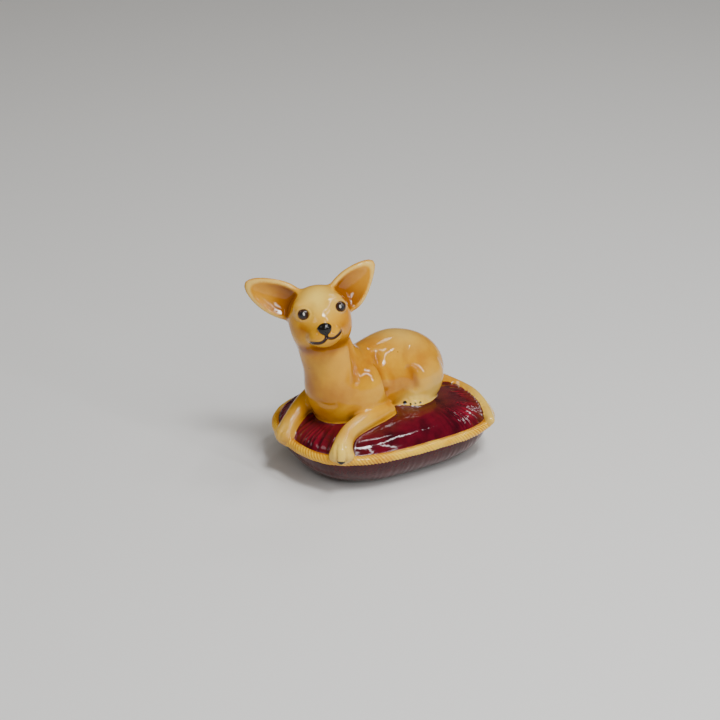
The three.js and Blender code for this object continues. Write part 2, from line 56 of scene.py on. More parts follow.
# Head: its middle, and how it is turned, lifted and tilted, in degrees.
HEAD_MIDDLE = (3.0, -23.8, 54.8)
HEAD_TURN, HEAD_LIFT, HEAD_TILT = 66.0, 18.0, 9.5
EYE_SHIFT, EYE_MIDDLE, EYE_RADIUS = 0.8, (5.9, 5.6, 2.3), 1.9
# Forms of the head in its own measure, each by its middle and half sizes, but the muzzle by the
# two stations of a tapered rod. Cheek, lip, brow and socket have a twin on the other side.
SKULL = (0, -1, 1), (9.5, 9.6, 8.5)
CHEEK = (4.4, 1, -3.8), (4.8, 6, 5.2)
MUZZLE = (0, 3.5, -3.6, 5.4), (0, 9.8, -4.4, 3.4)
LIP = (2.3, 9.4, -5.1), (2.9, 3.3, 2.4)
JAW = (0, 8.4, -6.8), (3, 3.6, 1.6)
BROW = (4.4, 5.4, 4.6), (2.8, 1.6, 1.4)
SOCKET = (6.1, 9.2, 2.3), (2.5, 1.8, 2)
NOSE = (0.2, 12.5, -2.4), (2.2, 1.4, 1.7)

NET_SIZE, QUICK_NET_SIZE = 0.55, 0.9


def join(a, b, soft):
    """Two distance fields flowing together over a width."""
    h = np.maximum(soft - np.abs(a - b), 0) / REAL(soft)
    return np.minimum(a, b) - h * h * REAL(soft * 0.25)


def cut(a, b, soft):
    """Field a with field b taken out of it, the edge rounded over a width."""
    return -join(-a, b, soft)


def column(v):
    """Three numbers as a column, to set against rows of x, y and z."""
    return np.array(v, REAL)[:, None]


def length(v):
    return np.sqrt((v * v).sum(0))


def egg(p, middle, half, tip=0.0):
    """Distance to an ellipsoid, tipped about X by some degrees."""
    x, y, z = p - column(middle)
    c, s = math.cos(math.radians(tip)), math.sin(math.radians(tip))
    q = np.stack([x, REAL(c) * y + REAL(s) * z, REAL(c) * z - REAL(s) * y])
    u = q / column(half)
    near = length(u)
    return near * (near - 1) / (length(u / column(half)) + REAL(1e-6))


def rod(p, a, b):
    """Distance to a round rod that tapers from station a to station b, each x, y, z, radius."""
    a, b = np.array(a, float), np.array(b, float)
    way = b[:3] - a[:3]
    q = p - column(a[:3])
    t = np.clip((q * column(way)).sum(0) / REAL(way @ way), 0, 1)
    return length(q - column(way) * t) - REAL(a[3]) - REAL(b[3] - a[3]) * t


def limb(p, stations, steps=9):
    """Distance to a round limb through stations along a smooth curve."""
    s = np.array(stations, float)
    s = np.vstack([2 * s[0] - s[1], s, 2 * s[-1] - s[-2]])
    points = []
    for a, b, c, d in zip(s, s[1:], s[2:], s[3:]):
        for t in np.arange(steps) / steps:
            points.append(0.5 * (2 * b + (c - a) * t + (2 * a - 5 * b + 4 * c - d) * t**2
                                 + (3 * b - 3 * c + d - a) * t**3))
    points.append(s[-2])
    least = rod(p, points[0], points[1])
    for a, b in zip(points[1:], points[2:]):
        least = np.minimum(least, rod(p, a, b))
    return least


def squareness(y):
    """The cushion's corners are rounder at the front than at the tail."""
    t = np.clip(y / REAL(16) + REAL(0.5), 0, 1)
    return REAL(FRONT_SQUARENESS) + REAL(BACK_SQUARENESS - FRONT_SQUARENESS) * t * t * (3 - 2 * t)


def plan_share(x, y, inset=0.0):
    """How far out a plan point lies: 0 in the middle, 1 on the cord's line, or on one inset."""
    p = squareness(y)
    u, v = np.abs(x) / REAL(HALF_WIDTH - inset), np.abs(y) / REAL(HALF_LENGTH - inset)
    return (u**p + v**p + REAL(1e-9)) ** (1 / p)


def top_rise(y):
    """Height of the cushion's crown over its seam, less at the tail end."""
    t = np.clip((y / REAL(HALF_LENGTH) - REAL(0.24)) / REAL(0.72), 0, 1)
    return REAL(TOP_RISE) - REAL(TAIL_END_DROP) * t * t * (3 - 2 * t)


def cushion_level(x, y, z):
    """Below 0 inside the plump cushion, above 0 outside, not yet in millimetres."""
    p = REAL(PLUMPNESS)
    half_height = np.where(z > SEAM_HEIGHT, top_rise(y), REAL(UNDERSIDE_DEPTH))
    v = np.abs(z - REAL(SEAM_HEIGHT)) / half_height
    return (plan_share(x, y, SEAM_INSET) ** p + v**p) ** (1 / p) - 1


def cushion(p):
    """Distance to the cushion, cut off flat at the foot."""
    x, y, z = p
    e = SLOPE_STEP
    level = cushion_level(x, y, z)
    steps = (cushion_level(x + e, y, z), cushion_level(x, y + e, z), cushion_level(x, y, z + e))
    slope = np.sqrt(sum((s - level) ** 2 for s in steps))
    return cut(level * e / (slope + REAL(1e-5)), z, 0.8)


def cord_place(x, y):
    """Distance outwards from the cord's middle line, in plan."""
    e = SLOPE_STEP
    out = plan_share(x, y) - 1
    slope = np.sqrt((plan_share(x + e, y) - 1 - out) ** 2 + (plan_share(x, y + e) - 1 - out) ** 2)
    return out * e / (slope + REAL(1e-5))


def cord(p):
    return np.hypot(cord_place(p[0], p[1]), p[2] - REAL(SEAM_HEIGHT)) - REAL(CORD_RADIUS)


def head_axes():
    """Rows: the head's own left, forward and up."""
    turn, lift, tilt = (math.radians(v) for v in (HEAD_TURN, HEAD_LIFT, HEAD_TILT))
    left = np.array([math.cos(turn), math.sin(turn), 0])
    level = np.array([math.sin(turn), -math.cos(turn), 0])
    upright = np.array([0, 0, 1.0])
    ahead = level * math.cos(lift) + upright * math.sin(lift)
    crown = upright * math.cos(lift) - level * math.sin(lift)
    return np.stack([left * math.cos(tilt) + crown * math.sin(tilt), ahead,
                     crown * math.cos(tilt) - left * math.sin(tilt)])


def in_head(p):
    """Points in the head's own left, forward and up, from its middle."""
    return head_axes().astype(REAL) @ (p - column(HEAD_MIDDLE))


def leaf(q, middle, long, wide, thick, bend, taper):
    """Distance to an egg drawn narrower towards its tip and bent sideways in its plane."""
    u = (q[0] - REAL(middle)) / REAL(long)
    narrow = np.maximum(1 - REAL(taper) * u, REAL(0.2))
    half_width, half_depth = REAL(wide) * narrow, REAL(thick) * narrow
    v = (q[1] - REAL(bend) * u * np.abs(u)) / half_width
    w = q[2] / half_depth
    near = length(np.stack([u, v, w]))
    slope = length(np.stack([u / REAL(long), v / half_width, w / half_depth]))
    return near * (near - 1) / (slope + REAL(1e-6))


# Each ear, in head measure: root, a point it runs to, extra length, sideways bend, taper.
EARS = {1: ((8.15, -2.0, 3.3), (18.0, -3.0, 12.2), 0.0, 0.7, 0.36),
        -1: ((7.0, -2.0, 5.0), (19.6, -3.0, 13.1), 0.6, -0.6, 0.22)}
# An ear's outer form and its hollow: how far along the middle is, half length, half width and
# half thickness, and how far in front of the ear's own plane it stands.
EAR_FORMS = (5.4, 9.7, 5.6, 2.7, 0), (5.2, 8.4, 4.6, 2.8, 2.2)


def in_ear(q, side):
    """Head points along, across and out of the front of one ear."""
    root, to = EARS[side][:2]
    along = np.subtract(to, root)
    along = along / np.linalg.norm(along)
    face = np.array([0.12, 0.97, -0.12])
    face = face - (face @ along) * along
    face = face / np.linalg.norm(face)
    axes = np.stack([along, np.cross(face, along), face]).astype(REAL)
    return axes @ (q * column((side, 1, 1)) - column(root))


def ear_forms(q, side):
    """Distances to one ear's outer form and to the hollow in its front."""
    extra, bend, taper = EARS[side][2:]
    own = in_ear(q, side)
    return [leaf(own - column((0, 0, before)), middle + extra / 2, long + extra, wide, thick,
                 bend, taper) for middle, long, wide, thick, before in EAR_FORMS]


def head(p):
    """Skull, cheeks, muzzle, lips, jaw, brows, eyes in their sockets, nose and ears."""
    q = in_head(p)
    # One side stands for both, the ridge between them rounded off.
    m = np.stack([np.sqrt(q[0] ** 2 + REAL(0.3)), q[1], q[2]])
    eyes = np.stack([np.abs(q[0] - REAL(EYE_SHIFT)), q[1], q[2]])
    d = join(egg(q, *SKULL), egg(m, *CHEEK), 3)
    d = join(d, rod(q, *MUZZLE), 4)
    d = join(d, egg(m, *LIP), 1.8)
    d = join(d, egg(q, *JAW), 1.2)
    d = join(d, egg(m, *BROW), 3)
    d = cut(d, egg(eyes, *SOCKET), 1.6)
    d = join(d, egg(eyes, EYE_MIDDLE, (EYE_RADIUS,) * 3), 0.5)
    d = join(d, egg(q, *NOSE), 0.5)
    for side in EARS:
        outer, hollow = ear_forms(q, side)
        d = join(d, cut(outer, hollow, 1.5), 1.6)
    return d


# The chest by its middle and half sizes, and then the barrel, back and rump, which also have a
# tip in degrees and the width over which each flows into the rest. Shoulders and thighs likewise.
CHEST = (2.2, -16, 27.1), (10, 10.4, 11.9)
TRUNK = [
    ((0, -4, 27.5), (11, 14, 12), 0, 5), ((-2, 5.5, 28.4), (11.3, 12.5, 12.4), 0, 5),
    ((-2.1, 12.4, 26.8), (11.2, 10.2, 10.6), 0, 4),
]
SHOULDERS_AND_THIGHS = [
    ((9.6, -10.5, 28), (4.6, 6.6, 9), -10, 2.2), ((-7.4, -11.5, 26.5), (4.4, 6.6, 8.4), -10, 2.2),
    ((7, 10.2, 26.2), (5, 8, 8.4), -32, 1.8), ((-12.2, 9.8, 25.6), (5, 8.6, 8.6), -20, 1.8),
]
NECK = ((2.4, -18, 33, 9), (2.1, -22.4, 46.5, 8.1))

# Limbs by stations x, y, z, radius: the feet under the thighs, the forelegs and the tail.
NEAR_FOOT = [(6.6, 12.6, 20.6, 2.6), (9.6, 9.6, 20.6, 2.3), (9.8, 6.5, 20.7, 2.2),
             (8.4, 3.6, 20.8, 2)]
FAR_FOOT = [(-13, 12, 20, 3), (-14.4, 8, 20, 2.3), (-14.4, 4.5, 20, 2.3), (-13.2, 2, 20.2, 2)]
NEAR_LEG = [(11.6, -4.4, 21.3, 2.5), (12.9, -8.6, 21.8, 2.9), (14.6, -15, 21.5, 2.8),
            (16.1, -20.2, 20.4, 2.6), (17.8, -23.4, 18.7, 2.8), (20.2, -25.9, 16.2, 3.4)]
FAR_LEG = [(-9.5, -12, 24, 4), (-8, -19, 23, 3.2), (-4.8, -25.6, 21.6, 2.9),
           (-2.6, -31, 18.2, 2.7), (-1.2, -34, 14.8, 3.2)]
TAIL = [(-4, 18, 21, 3.4), (-5.5, 25, 17.4, 2.4), (-3.4, 30, 15.4, 1.8), (3, 32, 15, 1.6),
        (10, 31.4, 14.9, 1.5), (17, 29.4, 14.7, 1.45), (22.4, 27.2, 14.4, 1.4)]
LIMBS = [(NEAR_FOOT, 1.5), (FAR_FOOT, 1.5), (NEAR_LEG, 1.4), (FAR_LEG, 2), (TAIL, 1.5)]


def dog(p):
    """The trunk, then the neck, the shoulders and thighs, the limbs, the tail and the head."""
    d = egg(p, *CHEST)
    for middle, half, tip, soft in TRUNK:
        d = join(d, egg(p, middle, half, tip), soft)
    d = join(d, rod(p, *NECK), 5)
    for middle, half, tip, soft in SHOULDERS_AND_THIGHS:
        d = join(d, egg(p, middle, half, tip), soft)
    for stations, soft in LIMBS:
        d = join(d, limb(p, stations), soft)
    return join(d, head(p), 3)


def base(p):
    """The cushion with its cord."""
    return join(cushion(p), cord(p), 0.8)


def figurine(p):
    """The whole smooth form, as the solid has it."""
    return join(dog(p), base(p), 1.6)


def measured(form, points, batch=8000):
    """A form's distance at many points, rows of x, y, z in millimetres."""
    out = np.empty(len(points), REAL)
    for i in range(0, len(points), batch):
        out[i:i + batch] = form(np.ascontiguousarray(points[i:i + batch].T, dtype=REAL))
    return out


def slopes(form, points, step=0.03):
    """A form's distance at each point, and how it rises along x, y and z."""
    here = measured(form, points)
    ahead = [measured(form, points + np.eye(3)[i] * step) for i in range(3)]
    return here, np.stack([(a - here) / step for a in ahead], 1)


def outwards(form, points):
    """The direction that leads straight away from a form, at each point."""
    _, slope = slopes(form, points)
    return slope / (np.linalg.norm(slope, axis=1, keepdims=True) + 1e-6)


def settle(form, points, turns=2):
    """Moves points along the form's slope on to its surface; the flat foot stays flat."""
    for _ in range(turns):
        away, slope = slopes(form, points)
        size = np.maximum((slope * slope).sum(1), 0.25)
        points = points - slope * (np.clip(away, -0.4, 0.4) / size)[:, None]
    points[points[:, 2] < 0.03, 2] = 0
    return points


def gauss(distance, width):
    """1 at no distance, falling smoothly to almost 0 past twice the width."""
    return np.exp(-((distance / width) ** 2))


def ramp(v, low, high):
    """0 below low, 1 above high, and smooth between them."""
    t = np.clip((v - low) / (high - low), 0, 1)
    return t * t * (3 - 2 * t)


def near_line(points, stations):
    """Distance to a smooth line through stations x, y, z."""
    return measured(lambda p: limb(p, [(*s, 0) for s in stations]), points)


def near_head_line(q, stations, steps=6):
    """Distance, seen from the front of the head, to a smooth line through (left, up) stations."""
    flat = np.stack([q[:, 0], np.zeros(len(q)), q[:, 2]], 1)
    return measured(lambda p: limb(p, [(l, 0, u, 0) for l, u in stations], steps), flat)


def rim_table():
    """Angle in plan and length along the cord, from under the far paw round and back."""
    turn = np.radians(np.linspace(RIM_START, RIM_START + 360, RIM_STEPS + 1))
    c, s = np.cos(turn), np.sin(turn)
    p = np.where(s > 0, BACK_SQUARENESS, FRONT_SQUARENESS)
    reach = (np.abs(c / HALF_WIDTH) ** p + np.abs(s / HALF_LENGTH) ** p) ** (-1 / p)
    reach = reach / plan_share(reach * c, reach * s)
    route = np.stack([reach * c, reach * s], 1)
    along = np.concatenate([[0], np.cumsum(np.linalg.norm(np.diff(route, axis=0), axis=1))])
    return turn, along


def along_rim(points):
    """Length along the cord of the rim point nearest each point, and distance out from it."""
    x, y = points[:, 0].astype(REAL), points[:, 1].astype(REAL)
    out = cord_place(x, y)
    e = SLOPE_STEP
    here = plan_share(x, y)
    gx, gy = plan_share(x + e, y) - here, plan_share(x, y + e) - here
    size = np.sqrt(gx * gx + gy * gy) + REAL(1e-6)
    angle = np.arctan2(y - gy / size * out, x - gx / size * out)
    angle = np.where(angle < np.radians(RIM_START), angle + 2 * np.pi, angle)
    turn, along = rim_table()
    return np.interp(angle, turn, along), out, along[-1]


# Furrows of the body: where each runs, its depth and its half width, in millimetres.
FURROWS = [
    ([(5.2, -4.9, 38), (10.4, -6.2, 35.6), (12.5, -5.4, 31.4), (12.5, -4.2, 27.6)], 1.0, 1.25),
    ([(7.6, -15.6, 46), (8.8, -15.7, 43.1), (9.6, -15.7, 40.1), (10.6, -16.2, 37),
      (11.6, -16.6, 34)], 1.0, 0.9),
    ([(4.7, 6.6, 38.4), (8.1, 3.9, 35.3), (10.0, 3.4, 32.4)], 0.4, 1.3),
    ([(9.9, 4.8, 33), (10.6, 5.3, 30.6), (11, 5.7, 28.4), (11.1, 6.0, 26.4)], 0.8, 1.1),
    ([(7.2, -25.9, 27.2), (8.9, -24.6, 26.9), (10.6, -22.9, 27.2)], 0.22, 0.7),
]
# Grooves between the toes of the near paw, the far paw and the near foot, likewise.
TOE_GROOVES = [
    ([(21.4, -25.3, 19.3), (23.1, -25.9, 17.4), (23.4, -26, 15.2), (22.9, -26, 13.8)], 0.5, 0.45),
    ([(20.4, -27.6, 19), (21.8, -28.7, 17.1), (21.9, -28.6, 15.1), (21.4, -28.3, 13.8)],
     0.5, 0.45),
    ([(0.2, -34.4, 17.6), (0.4, -36.6, 16.4), (0.4, -37.4, 13.8)], 0.4, 0.45),
    ([(-2.4, -34.4, 17.6), (-2.6, -36.4, 16.4), (-2.6, -37.2, 13.8)], 0.4, 0.45),
    ([(9.6, 3.8, 22.8), (11, 3.8, 22), (11.4, 3.8, 20.8)], 0.3, 0.35),
    ([(10.2, 5.5, 22.8), (11.8, 5.5, 22), (12.2, 5.5, 20.8)], 0.3, 0.35),
    ([(10.6, 7.3, 22.8), (12.1, 7.3, 22), (12.6, 7.3, 20.8)], 0.3, 0.35),
]
# Toes that swell beside the grooves: middle, rise and half width.
TOES = [
    ((18.6, -28.9, 14.6), 0.9, 1.5), ((22.4, -23.4, 15.0), 0.9, 1.5),
    ((22.8, -27.5, 14.7), 0.3, 1.2), ((22.5, -27.4, 13.8), 0.5, 0.9),
    ((2.4, -34.6, 14.6), 0.5, 1.3), ((-3.6, -36, 14.8), 0.4, 1.3),
]
# Painted claws, and a dark speck fired into the glaze of the throat: x, y, z and radius.
CLAWS = [
    (10.3, 2.7, 21.5, 0.7), (11.3, 4.2, 21.1, 0.42), (11.8, 5.6, 21.2, 0.4),
    (12.2, 7.3, 21.2, 0.45), (22.4, -27.3, 13.7, 1.4), (3.6, -35.6, 13.2, 0.6),
]
SPECK = (4.5, -28.4, 38.8, 0.28)

# The mouth's two halves and the line under the nose, as left and up in head measure, with the
# groove's depth and half width, and a factor on distance: less than 1 paints a thicker stroke.
FACE_LINES = [
    ([(0.2, -5.1), (-0.8, -6.1), (-2.3, -6.5), (-4.5, -6.1)], 0.32, 0.34, 0.8),
    ([(0.2, -5.1), (1.0, -5.6), (2.3, -5.8), (3.7, -5.3), (5.0, -4.5)], 0.32, 0.34, 0.92),
    ([(0.2, -3.6), (0.2, -5.3)], 0.3, 0.3, 0.7),
]
# Rings round each eye: radius, rise and half width. The lid stands and a groove lies inside it.
LID_RINGS = [(2.2, 0.26, 0.3), (1.75, -0.2, 0.24)]
LID_SQUASH = 1.15
# Paint of the nose, and of the painted white glint in each eye, in head measure: middle, half
# sizes.
NOSE_PAINT = (0.2, 13.0, -2.35), (2.7, 2.4, 2.15)
EYE_GLINT_PAINT = (5.6, 2.45), (0.3, 0.55)
# The value that a distance has where its paint must not show.
FAR_OFF = 9

# Brown touches on the face, in head measure: left, up, spread, strength.
HEAD_BLUSHES = [
    (-6.1, -2.2, 1.8, 1.0), (5.9, -3.4, 1.6, 0.5), (-2.6, -3.2, 1.0, 0.35),
    (2.9, -3.0, 1.0, 0.3), (-1.6, 4.6, 1.4, 0.3), (3.0, 4.8, 1.3, 0.3),
]
# Airbrushed orange-brown on the coat and the cord: middle, spread, strength.
BLUSHES = [
    ((12, -17, 34), 6, 0.35), ((6, -24, 30), 9, 0.6), ((0, -24, 36), 7, 0.7),
    ((24.8, 22, 13.5), 5, 0.8), ((24.4, -17, 13.5), 6, 0.7), ((12, -31, 13.5), 6, 0.7),
    ((3, -34.5, 12.7), 6, 0.6), ((-12, -32, 13), 7, 0.6), ((8.5, -0.5, 30), 5, 0.4),
    ((-4, -10, 38), 9, 0.4), ((0, 18, 34), 9, 0.35), ((-10, 0, 32), 9, 0.4),
    ((-14, 14, 28), 7, 0.4),
]
# Places of the coat that are left pale, the forehead's one being painted light on the head's top,
# and others where its glaze is greyer, likewise.
PALE_AND_LIT_PLACES = [
    ((22, -27, 17), 6, 1.0), ((18, -19, 22), 6, 0.5), ((-1, -35, 16), 5, 0.6),
    ((11, 6, 21.5), 4.5, 1.0), ((9, 12, 22), 6, 0.9), ((12, 31, 15), 10, 0.8),
    ((22, 28, 15), 7, 1.0), ((6, -26, 62), 6, 1.0), ((0, 8, 41), 8, 0.45),
    ((11, -27, 52), 4, 0.4),
]
ASHES = [
    ((11.6, 13.3, 27.4), 4.5, 1.0), ((-6, 6, 40), 7, 0.7), ((-9, 15, 33), 6, 0.6),
    ((8, -20.5, 61), 2.2, 0.5),
]


def measured_rows(change, points):
    """Points as rows, put through a change that works on rows of x, y and z."""
    return change(np.ascontiguousarray(points.T, dtype=REAL)).T.astype(float)


def place_in_head(points):
    """Points as rows of left, forward, up in head measure."""
    return measured_rows(in_head, points)


def gather_height(along, out, z):
    """Gathers that radiate from the cord, strongest close to it and at the tail end."""
    inward = -out
    shift = (0.9 * np.sin(along * 0.21) + 0.6 * np.sin(along * 0.53 + 1.3)
             + 0.25 * np.sin(along * 1.7))
    lean = 0.12 * inward
    fold = np.abs(np.cos(np.pi * (along + shift + lean) / GATHER_SPACING)) - 0.62
    uneven = 0.7 + 0.3 * np.sin(along * 0.83 + 0.6) * np.sin(along * 0.31 + 0.2)
    fade = 10.5 + 2.2 * np.sin(along * 0.47 + 2)
    reach = ramp(inward, 0.4, 2.6) * (1 - ramp(inward, fade - 5.5, fade + 1))
    # The near side is gathered from its middle to the tail corner, and plump before that.
    near = ramp(along, 62, 84) * (1 - ramp(along, 190, 205))
    plump = ramp(along, 20, 30) * (1 - ramp(along, 58, 72))
    strength = np.where(z > SEAM_HEIGHT, 0.3 * (1 - 0.97 * plump) + 0.7 * near, 0.22)
    return fold * uneven * reach * strength


def strand_phase(points, along, out, total):
    """Where each cord point lies in the lay of the strands, which slant round the cord."""
    around = np.arctan2(points[:, 2] - SEAM_HEIGHT, out)
    wander = 0.8 * np.sin(along * 0.41) + 0.6 * np.sin(along * 0.17 + 2)
    return 2 * np.pi * along / total * round(total / STRAND_PITCH) + 5 * around + wander


def coat_relief(points, on_dog):
    """Furrows and toe grooves sunk in the coat, and the toes that swell beside them."""
    height = np.zeros(len(points))
    for route, depth, width in FURROWS + TOE_GROOVES:
        height -= depth * on_dog * gauss(near_line(points, route), width)
    for middle, rise, width in TOES:
        height += rise * gauss(np.linalg.norm(points - np.array(middle), axis=1), width)
    return height


def face_relief(q, on_dog):
    """The mouth and nose lines, and the lid round each eye, from points in head measure."""
    front = ramp(q[:, 1], 4.0, 6.0) * on_dog
    height = np.zeros(len(q))
    for route, depth, width, _ in FACE_LINES:
        height -= depth * front * gauss(near_head_line(q, route), width)
    from_eye = np.hypot(np.abs(q[:, 0] - EYE_SHIFT) - EYE_MIDDLE[0],
                        (q[:, 2] - EYE_MIDDLE[2]) * LID_SQUASH)
    for radius, rise, width in LID_RINGS:
        height += front * rise * gauss(from_eye - radius, width)
    return height


def cushion_relief(points, on_cushion, on_cord):
    """Gathers of the cushion, and the worn strands and slow waver of the cord."""
    along, out, total = along_rim(points)
    gathers = GATHER_RELIEF * gather_height(along, out, points[:, 2])
    strand = np.sin(strand_phase(points, along, out, total))
    worn = 0.7 + 0.3 * np.sin(along * 0.29 + 1) * np.sin(along * 0.113 + 0.4)
    waver = np.sin(along * 0.74) * np.sin(along * 0.33 + 2)
    strands = STRAND_RELIEF * worn * strand + CORD_WAVER * waver
    return on_cushion * gathers + on_cord * strands


def carve(points):
    """Adds the finer carving to points of the smooth form, along its outward slope."""
    on_dog = ramp(measured(base, points) - measured(dog, points), 0.0, 1.0)
    on_cord = ramp(measured(cushion, points) - measured(cord, points), -0.1, 0.3) * (1 - on_dog)
    height = coat_relief(points, on_dog) + face_relief(place_in_head(points), on_dog)
    height += cushion_relief(points, (1 - on_dog) * (1 - on_cord), on_cord)
    on_foot = points[:, 2] < 0.05
    height[on_foot] = 0
    return points + outwards(figurine, points) * height[:, None]


def activate(piece):
    """Makes one piece the only selected and the active object."""
    bpy.ops.object.select_all(action="DESELECT")
    piece.select_set(True)
    bpy.context.view_layer.objects.active = piece


def read_points(piece):
    """A mesh's points in millimetres, as rows of x, y, z."""
    co = np.empty(len(piece.data.vertices) * 3)
    piece.data.vertices.foreach_get("co", co)
    return co.reshape(-1, 3) / MM


def write_points(piece, points):
    piece.data.vertices.foreach_set("co", (points * MM).ravel())
    piece.data.update()


def subdivide_where(piece, chosen):
    """Divides the faces whose middles a rule picks, once, in edit mode."""
    mesh = piece.data
    middles = np.empty(len(mesh.polygons) * 3)
    mesh.polygons.foreach_get("center", middles)
    picked = chosen(middles.reshape(-1, 3) / MM)
    activate(piece)
    bpy.ops.object.mode_set(mode="EDIT")
    bpy.ops.mesh.select_mode(type="FACE")
    bpy.ops.mesh.select_all(action="DESELECT")
    bpy.ops.object.mode_set(mode="OBJECT")
    mesh.polygons.foreach_set("select", picked)
    bpy.ops.object.mode_set(mode="EDIT")
    bpy.ops.mesh.subdivide(number_cuts=1, quadcorner="INNERVERT")
    bpy.ops.object.mode_set(mode="OBJECT")


def on_face(middles):
    """Picks the front of the head, where the eyes, nose and mouth are."""
    q = place_in_head(middles)
    return (q[:, 1] > 4.5) & (np.abs(q[:, 0]) < 9) & (np.abs(q[:, 2] + 1.5) < 8)


def on_cord_or_gathers(middles):
    """Picks the cord, and the band of the cushion's top just inside it."""
    out = cord_place(middles[:, 0].astype(REAL), middles[:, 1].astype(REAL))
    bare = measured(cushion, middles) - measured(figurine, middles) < 0.3
    band = (out < -0.5) & (out > -7.0) & (middles[:, 2] > SEAM_HEIGHT)
    return (measured(cord, middles) - measured(base, middles) < 0.25) | bare & band


def make_figurine():
    """The solid's own shape, netted finely, set on the smooth form, carved and painted."""
    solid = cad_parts["chihuahua_on_cushion"]
    piece = bpy.data.objects.new("chihuahua_figurine", solid.data.copy())
    bpy.context.scene.collection.objects.link(piece)
    piece.data.materials.clear()
    activate(piece)
    bpy.ops.object.mode_set(mode="EDIT")
    bpy.ops.mesh.select_all(action="SELECT")
    bpy.ops.mesh.remove_doubles(threshold=0.00001)
    bpy.ops.object.mode_set(mode="OBJECT")
    net = piece.modifiers.new("net", "REMESH")
    net.mode = "VOXEL"
    net.voxel_size = NET_SIZE * MM
    bpy.ops.object.modifier_apply(modifier=net.name)
    write_points(piece, settle(figurine, read_points(piece), 3))
    subdivide_where(piece, on_cord_or_gathers)
    subdivide_where(piece, on_face)
    bpy.ops.object.mode_set(mode="EDIT")
    bpy.ops.mesh.select_all(action="SELECT")
    bpy.ops.mesh.quads_convert_to_tris()
    bpy.ops.object.mode_set(mode="OBJECT")
    smooth = settle(figurine, read_points(piece), 2)
    write_points(piece, carve(smooth))
    paint_figurine(piece.data, smooth)
    activate(piece)
    bpy.ops.object.shade_smooth()
    return piece


def add_paint(mesh, name, values):
    """Keeps one number a point, for the glaze to read by name."""
    layer = mesh.attributes.new(name, "FLOAT", "POINT")
    layer.data.foreach_set("value", np.ascontiguousarray(values, dtype=np.float32))


def spots(points, places):
    """The strongest of some soft round spots, each a middle, a spread and a strength."""
    return np.max([strength * gauss(np.linalg.norm(points - np.array(middle), axis=1), spread)
                   for middle, spread, strength in places], axis=0)


def paint_figurine(mesh, smooth):
    """Distances and strengths that the glaze colours read, worked out on the smooth form."""
    q = place_in_head(smooth)
    from_dog = measured(dog, smooth)
    add_paint(mesh, "coat_side", measured(base, smooth) - from_dog)
    add_paint(mesh, "cord_side", measured(cushion, smooth) - measured(cord, smooth))
    # How hollow each point lies: the glaze pools browner in hollows, where shade is also painted,
    # and runs paler on crests, where light is also painted.
    reach = 1.6
    pool_and_shade = 1 - measured(figurine, smooth + outwards(figurine, smooth) * reach) / reach
    add_paint(mesh, "pool_and_shade", np.clip(pool_and_shade, -1, 1))
    paint_face(mesh, q)
    paint_coat(mesh, smooth, q)
    paint_ears(mesh, smooth)
    paint_cushion(mesh, smooth, from_dog)


def paint_face(mesh, q):
    """Distances, in head measure, from the eyes, their painted glints, the nose and the mouth."""
    aside = np.abs(q[:, 0] - EYE_SHIFT)
    on_eye = q[:, 1] > 5.7
    eye = np.hypot(aside - EYE_MIDDLE[0], q[:, 2] - EYE_MIDDLE[2])
    add_paint(mesh, "from_eye", np.where(on_eye, eye, FAR_OFF))
    # A painted glint of white in each eye, standing in for a reflection.
    (glint_l, glint_u), (half_l, half_u) = EYE_GLINT_PAINT
    glint = np.hypot((aside - glint_l) / half_l, (q[:, 2] - glint_u) / half_u)
    add_paint(mesh, "painted_eye_glint", np.where(on_eye, glint, FAR_OFF))
    from_nose = q - np.array(NOSE_PAINT[0])
    nose = np.linalg.norm(from_nose / np.array(NOSE_PAINT[1]), axis=1) - 1
    narrower_below = np.where(from_nose[:, 2] < 0, 0.14 * np.abs(from_nose[:, 0]), 0)
    add_paint(mesh, "nose_edge", nose + narrower_below)
    lines = np.min([near_head_line(q, route) * thin for route, _, _, thin in FACE_LINES], axis=0)
    add_paint(mesh, "from_mouth", np.where(q[:, 1] > 3.5, lines, FAR_OFF))


def paint_coat(mesh, smooth, q):
    """Claws, airbrushed brown with painted shade in furrows, toe grooves and under the jaw,
    places left pale with painted light on the forehead, and greyer places.
    """
    claws = [np.linalg.norm(smooth - np.array(c[:3]), axis=1) - c[3] for c in CLAWS + [SPECK]]
    add_paint(mesh, "from_claw", np.min(claws, axis=0))
    airbrush_and_shade = spots(smooth, BLUSHES)
    # Brown sprayed along the furrows and toe grooves, which also stands in for painted shade in
    # them.
    for route, depth, width in FURROWS + TOE_GROOVES:
        furrow_spray_and_shade = min(depth * 1.1, 1) * gauss(near_line(smooth, route), width * 1.2)
        airbrush_and_shade = np.maximum(airbrush_and_shade, furrow_spray_and_shade)
    for left, up, spread, strength in HEAD_BLUSHES:
        spot = gauss(np.hypot(q[:, 0] - left, q[:, 2] - up), spread) * ramp(q[:, 1], 0, 3)
        airbrush_and_shade = np.maximum(airbrush_and_shade, strength * spot)
    # Painted shade under the jaw, along its lower edge, which is level at the back and rises
    # towards the chin.
    below_edge = q[:, 2] + 9.0 + 0.05 * (q[:, 1] - 6) ** 2 * (q[:, 1] > 6)
    jaw = np.where(np.abs(q[:, 0]) < 9, gauss(below_edge, 1.7) * ramp(q[:, 1], -2, 3), 0)
    add_paint(mesh, "airbrush_and_shade", np.clip(np.maximum(airbrush_and_shade, jaw), 0, 1))
    add_paint(mesh, "shade_under_jaw", jaw)
    add_paint(mesh, "cream", spots(smooth, PALE_AND_LIT_PLACES))
    add_paint(mesh, "ash", spots(smooth, ASHES))


